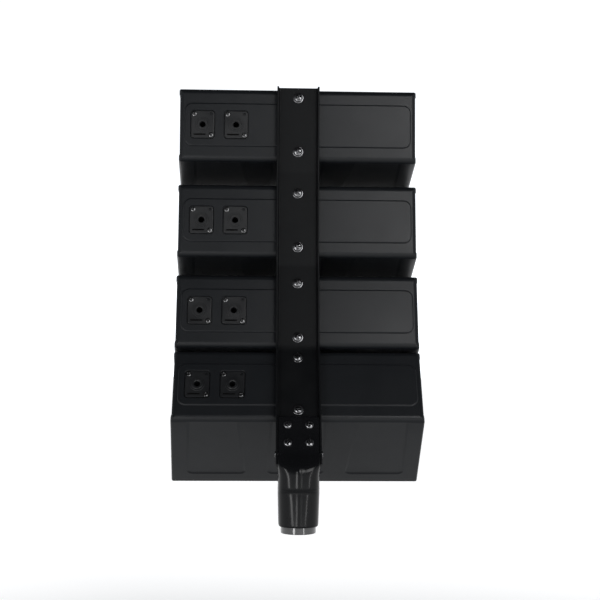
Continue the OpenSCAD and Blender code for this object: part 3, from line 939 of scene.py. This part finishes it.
def rail_section():
    """The channel's section, as [x, distance behind the seat], with rounded folds."""
    w, inner = RAIL_W / 2, RAIL_W / 2 - FLANGE_T
    corners = [(-w, 0), (w, 0), (w, RAIL_H), (inner, RAIL_H), (inner, WEB_T),
               (-inner, WEB_T), (-inner, RAIL_H), (-w, RAIL_H)]
    return rounded(corners, [FOLD_R, FOLD_R, EDGE_R, EDGE_R, FOLD_INNER_R, FOLD_INNER_R,
                             EDGE_R, EDGE_R], 5)


def make_rail():
    section = rail_section()
    rings = []
    for y, z, t in rail_line():
        rings.append([Vector((p.x, y + p.y * math.cos(t), z + p.y * math.sin(t)))
                      for p in section])
    bm = stack(rings)
    holes = []
    for n in MODULES:
        for side in (1, -1):
            bore = hole(0, side * SCREW_REACH, RAIL_BORE_R, *THROUGH_WEB, 24)
            bore.transform(Matrix.Scale(1 / MM, 4) @ SEATS[n].matrix)
            holes.append(bore)
    finish_piece(combine(bm, holes), "spine_rail_look", PART, RAIL,
                 ["spine_rail"])


make_rail()


# ---- Pole bracket ----

# The casting's plate lies this far behind the seat, just clear of the rail's web.
CASTING_SEAT = 2.55
PLATE_HALF, SOCKET_BORE_R, SOCKET_BORE_TOP = 21.8, 18.45, 58
CLAMP_Z, CLAMP_HOLE_R = 28, 5.05
FLAT_SHARE, FLAT_STEPS, CORNER_STEPS = 0.7, 28, 12


def squared_half(power):
    """Half of a squared-off circle, from (1, 0) round to just short of (-1, 0): a higher
    power is squarer. The flat side's points are even, so that a ridge on it is smooth."""
    turn = math.acos(FLAT_SHARE ** (power / 2)) / CORNER_STEPS
    corner = [(math.cos(turn * k) ** (2 / power), math.sin(turn * k) ** (2 / power))
              for k in range(CORNER_STEPS)]
    flat = [FLAT_SHARE * (1 - 2 * k / FLAT_STEPS) for k in range(FLAT_STEPS + 1)]
    middle = [(u, (1 - abs(u) ** power) ** (1 / power)) for u in flat]
    return corner + middle + [(-u, v) for u, v in reversed(corner[1:])]


def casting_ring(rear, front, half, power, ridge, ridge_w):
    """One section of the casting between a rear and a front point, each [y, z]. The ridge
    stands up the middle of the rear."""
    middle, reach = (rear + front) / 2, (rear - front) / 2
    outline = squared_half(power)
    ring = []
    for u, v in outline:
        p = middle + reach * v
        p = p + reach.normalized() * ridge * math.exp(-(u * half / ridge_w) ** 2)
        ring.append(Vector((u * half, p.x, p.y)))
    for u, v in outline:
        p = middle - reach * v
        ring.append(Vector((-u * half, p.x, p.y)))
    return ring


def casting_stations():
    """The casting's sections, from the plate's top to the socket's foot. Each gives the rear
    y and z, the front y and z, half the width, the squareness (the power of the outline),
    and the height and width of the ridge down the middle."""
    seat = SEATS[4]

    def on_plate(down, back, power, ridge, ridge_w, half=PLATE_HALF):
        return (*seat.at(back, -down), *seat.at(CASTING_SEAT, -down), half, power, ridge,
                ridge_w)

    def leaving(down, y, z, power, ridge, ridge_w):
        return (y, z, *seat.at(CASTING_SEAT, -down), PLATE_HALF, power, ridge, ridge_w)

    return [on_plate(41.0, 7.7, 24, 0, 3, 21.0),
            on_plate(41.8, 8.5, 24, 0, 3),
            on_plate(60, 8.5, 24, 0, 3),
            on_plate(72, 8.5, 22, 0.1, 2.4),
            on_plate(77, 8.5, 20, 0.35, 2.5),
            leaving(82, 7.1, 82.0, 14, 0.6, 2.6),
            leaving(86, 10.1, 79.0, 10, 0.8, 2.7),
            leaving(90, 13.4, 76.0, 7.5, 0.9, 2.8),
            (16.6, 73.0, 4.6, 69.0, 21.8, 6, 0.95, 2.9),
            (19.4, 70.0, -3.0, 66.6, 21.8, 5, 1.0, 3.0),
            (21.1, 67.0, -14.5, 64.0, 21.7, 4.2, 1.0, 3.0),
            (22.1, 63.8, -19.8, 61.4, 21.6, 3.6, 1.0, 3.0),
            (22.5, 60.4, -20.8, 58.6, 21.5, 3.2, 1.0, 3.0),
            (22.55, 56.0, -20.9, 55.0, 21.5, 3.0, 1.0, 3.0),
            (22.5, 51.5, -20.9, 51.0, 21.6, 2.9, 1.0, 3.0),
            (22.35, 47.8, -20.9, 47.6, 21.7, 2.8, 0.95, 3.0),
            (21.9, 45.4, -20.9, 45.4, 21.8, 2.7, 0.9, 2.9),
            (21.0, 43.9, -20.9, 43.9, 21.8, 2.6, 0.8, 2.8),
            (20.6, 42.6, -20.9, 42.6, 21.8, 2.5, 0.75, 2.7),
            (20.5, 40.6, -20.9, 40.6, 21.8, 2.4, 0.7, 2.6),
            (20.6, 34.0, -20.9, 34.0, 21.6, 2.3, 0.7, 2.5),
            (20.5, 20.0, -20.8, 20.0, 21.2, 2.2, 0.65, 2.4),
            (20.4, 8.8, -20.6, 8.8, 20.8, 2.1, 0.6, 2.4),
            (19.7, 7.0, -19.9, 7.0, 20.1, 2.1, 0.5, 2.4)]


def blend_stations(stations, steps=6):
    """More sections between the given ones, on monotone cubics through them."""
    def slope(a, b, c):
        return 0.0 if (b - a) * (c - b) <= 0 else 2 / (1 / (b - a) + 1 / (c - b))

    out = []
    last = len(stations) - 1
    for i in range(last):
        before, after = stations[max(i - 1, 0)], stations[min(i + 2, last)]
        for k in range(steps):
            t = k / steps
            row = []
            for a, b, c, d in zip(before, stations[i], stations[i + 1], after):
                m1, m2 = slope(a, b, c), slope(b, c, d)
                row.append(b * (2 * t ** 3 - 3 * t ** 2 + 1) + m1 * (t ** 3 - 2 * t ** 2 + t)
                           + c * (3 * t ** 2 - 2 * t ** 3) + m2 * (t ** 3 - t ** 2))
            out.append(row)
    out.append(list(stations[last]))
    return out


def clamp_hole(end):
    """The cutter for the clamp screw's way into the socket, from outside to y = -end."""
    return lathe([(0, -10), (CLAMP_HOLE_R, -10), (CLAMP_HOLE_R, -end), (0, -end)], 32,
                 (0, CLAMP_Z))


def make_bracket():
    rings = []
    for ry, rz, fy, fz, half, power, ridge, ridge_w in blend_stations(casting_stations()):
        rings.append(casting_ring(Vector((ry, rz)), Vector((fy, fz)), half, power, ridge,
                                  ridge_w))
    boss = lathe([(0, -16), (11, -16), (11, -34.8), (10.2, -36), (0, -36)], 48, (0, CLAMP_Z))
    body = combine(stack(rings), [boss], "UNION")
    bore = stack([[Vector((p.x, p.y, z)) for p in circle(SOCKET_BORE_R, 64)]
                  for z in (0, SOCKET_BORE_TOP)])
    body = combine(body, [bore, clamp_hole(37)])
    finish_piece(body, "pole_bracket_look", PART, GLOSS, ["pole_bracket"],
                 sharp=42)


make_bracket()

SLEEVE_R, SLEEVE_BORE_R, SLEEVE_TOP = 18.4, 17.65, 63.8


def make_sleeve():
    """The socket's lining, its foot rounded, with a window for the clamp screw."""
    profile = [(SLEEVE_BORE_R, 0.5), (SLEEVE_BORE_R + 0.25, 0), (SLEEVE_R - 0.3, 0),
               (SLEEVE_R, 0.4), (SLEEVE_R, SLEEVE_TOP), (SLEEVE_BORE_R, SLEEVE_TOP)]
    rings = [[Vector((p.x, p.y, z)) for p in circle(r, 96)] for r, z in profile]
    bm = bmesh.new()
    bridge(bm, rings, closed=True)
    finish_piece(combine(bm, [clamp_hole(25)]), "socket_sleeve_look", PART, SLEEVE,
                 ["socket_sleeve"])


make_sleeve()

KNOB_LOBES, LOBE_DEPTH = 6, 0.11
THREAD_R, ROOT_R, TURNS, HALF_PITCH = 5.0, 4.6, 10, 0.75


def make_knob():
    """The clamp knob: a lobed grip, its hub, and the threaded screw with its plain tip."""
    def lobes(a):
        return 1 + LOBE_DEPTH * math.cos(KNOB_LOBES * a)

    at = (0, CLAMP_Z)
    grip = lathe([(0, -42.5), (10.4, -42.5), (12.6, -43.4), (13.4, -45), (13.4, -53.2),
                  (12.8, -54.8), (11.2, -55.8), (5.5, -56), (4.8, -55.3), (0, -55.3)],
                 96, at, lobes)
    hub = lathe([(0, -40), (8.4, -40), (9, -40.6), (9, -43), (0, -43)], 48, at)
    thread = [(0, -23.3), (4.2, -23.3), (THREAD_R, -24)]
    thread += [(r, -24.5 - HALF_PITCH * k)
               for k, r in enumerate([THREAD_R, ROOT_R] * TURNS)]
    thread += [(THREAD_R, -41), (0, -41)]
    screw = lathe(thread, 32, at)
    tip = lathe([(0, -21.2), (1.9, -21.2), (2.2, -21.5), (2.2, -24), (0, -24)], 24, at)
    finish_piece(join(grip, hub, screw, tip), "clamp_knob_look", PART, KNOB,
                 ["clamp_knob"], body="knob")


make_knob()


# ---- Room ----

FLOOR_HALF, FLOOR_Z = 30, -0.3
FLOOR_GREY, FLOOR_ROUGH = (0.9, 0.9, 0.9, 1), 0.9
# The floor's painted glow: the distances from the array, and the emission levels from dim
# (painted shade near the array) to bright (painted light far off).
PAINTED_GLOW_SPAN, PAINTED_GLOW_LEVELS = (0.2, 1.6), (0.1, 0.8)


def painted_glow_floor():
    """A pale floor with a painted glow. Its emission is dim near the array, as painted shade
    under it, and grows brighter further off, as painted light.
    """
    bm = bmesh.new()
    bmesh.ops.create_grid(bm, x_segments=2, y_segments=2, size=FLOOR_HALF)
    bm.transform(Matrix.Translation((0, 0, FLOOR_Z)))
    floor = to_object(bm, "floor")
    material = bpy.data.materials.new("painted_glow_floor")
    tree = nodes_of(material)
    out = tree.nodes.new("ShaderNodeOutputMaterial")
    paint = tree.nodes.new("ShaderNodeBsdfPrincipled")
    paint.inputs["Base Color"].default_value = FLOOR_GREY
    paint.inputs["Roughness"].default_value = FLOOR_ROUGH
    paint.inputs["Emission Color"].default_value = (1, 1, 1, 1)
    place = tree.nodes.new("ShaderNodeTexCoord")
    distance = tree.nodes.new("ShaderNodeVectorMath")
    distance.operation = "LENGTH"
    link(tree, place.outputs["Object"], distance.inputs[0])
    # Painted glow and shade: the emission rises with distance from the array.
    painted_glow_level = fade(tree, distance.outputs["Value"], PAINTED_GLOW_SPAN, PAINTED_GLOW_LEVELS)
    link(tree, painted_glow_level, paint.inputs["Emission Strength"])
    link(tree, paint.outputs["BSDF"], out.inputs["Surface"])
    floor.data.materials.append(material)


# The studio, as levels that each fade towards a direction: a white backdrop ahead of the
# camera, a bright horizon, and a room that darkens overhead behind the camera. Each is
# given by its direction, the span of the fade, and the levels at the span's ends.
BACKDROP = ((0.0, -1.0, 0.0), (0.6, 0.9), (0.0, 0.6))
HORIZON = ((0.0, 0.0, 1.0), (0.0, 0.3), (0.6, 0.0))
ROOM = ((0.0, 0.45, 0.893), (0.0, 0.85), (0.5, 0.04))
SKY_TINT = (0.97, 1.0, 1.04, 1)


def lobe(tree, direction, span, levels):
    """A level that fades from one value to another towards a direction."""
    place = tree.nodes.new("ShaderNodeTexCoord")
    towards = tree.nodes.new("ShaderNodeVectorMath")
    towards.operation = "DOT_PRODUCT"
    towards.inputs[1].default_value = direction
    link(tree, place.outputs["Generated"], towards.inputs[0])
    return fade(tree, towards.outputs["Value"], span, levels)


def studio_world():
    world = bpy.data.worlds.new("studio")
    bpy.context.scene.world = world
    world.use_nodes = True
    tree = world.node_tree
    sky = tree.nodes["Background"]
    sky.inputs["Color"].default_value = SKY_TINT
    total = lobe(tree, *ROOM)
    for other in (BACKDROP, HORIZON):
        total = add(tree, total, lobe(tree, *other))
    link(tree, total, sky.inputs["Strength"])


ARRAY_MIDDLE, SOCKET_MIDDLE = (0, -0.1, 0.22), (0, 0, 0.05)
# Soft boxes: where each stands, what it faces, its width and height, and its power.
SOFT_BOXES = {"back_light": ((-0.7, 1.9, 0.95), ARRAY_MIDDLE, (0.8, 0.8), 15),
              "right_strip": ((-0.7, 1.05, 0.05), SOCKET_MIDDLE, (0.07, 0.8), 1.8),
              "left_strip": ((0.6, 1.05, 0.05), SOCKET_MIDDLE, (0.2, 0.8), 4.5)}


def soft_box(name, at, aim, size, power):
    data = bpy.data.lights.new(name, "AREA")
    data.shape = "RECTANGLE"
    data.size, data.size_y = size
    data.energy = power
    lamp = bpy.data.objects.new(name, data)
    bpy.context.scene.collection.objects.link(lamp)
    lamp.location = at
    lamp.rotation_euler = (Vector(aim) - Vector(at)).to_track_quat("-Z", "Y").to_euler()


def make_room():
    bpy.context.scene.view_settings.view_transform = "Standard"
    painted_glow_floor()
    studio_world()
    for name, facts in SOFT_BOXES.items():
        soft_box(name, *facts)


make_room()
